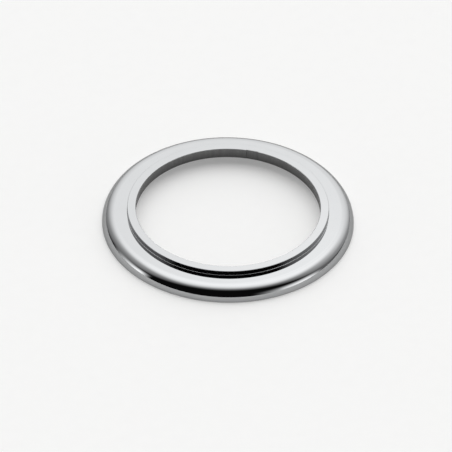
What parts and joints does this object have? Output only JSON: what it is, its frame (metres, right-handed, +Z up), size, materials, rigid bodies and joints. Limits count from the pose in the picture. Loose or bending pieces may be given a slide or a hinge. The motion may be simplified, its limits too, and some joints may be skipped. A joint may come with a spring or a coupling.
{
  "type": "tap rosette",
  "caption": "Round polished cover ring for the foot of a tap: flat flange with a rounded rim, a low raised collar, a wide plain bore and a hollow underside.",
  "frame": {"origin": "centre of the plane that the foot stands on, on the bore's axis", "axes": "+Z up along the bore's axis, from the foot to the collar; the ring lies in the XY plane"},
  "size_m": [0.06, 0.06, 0.0047],
  "materials": {
    "chrome": "polished bright chrome plate"
  },
  "bodies": {
    "root": {"rosette": "chrome"}
  },
  "joints": []
}
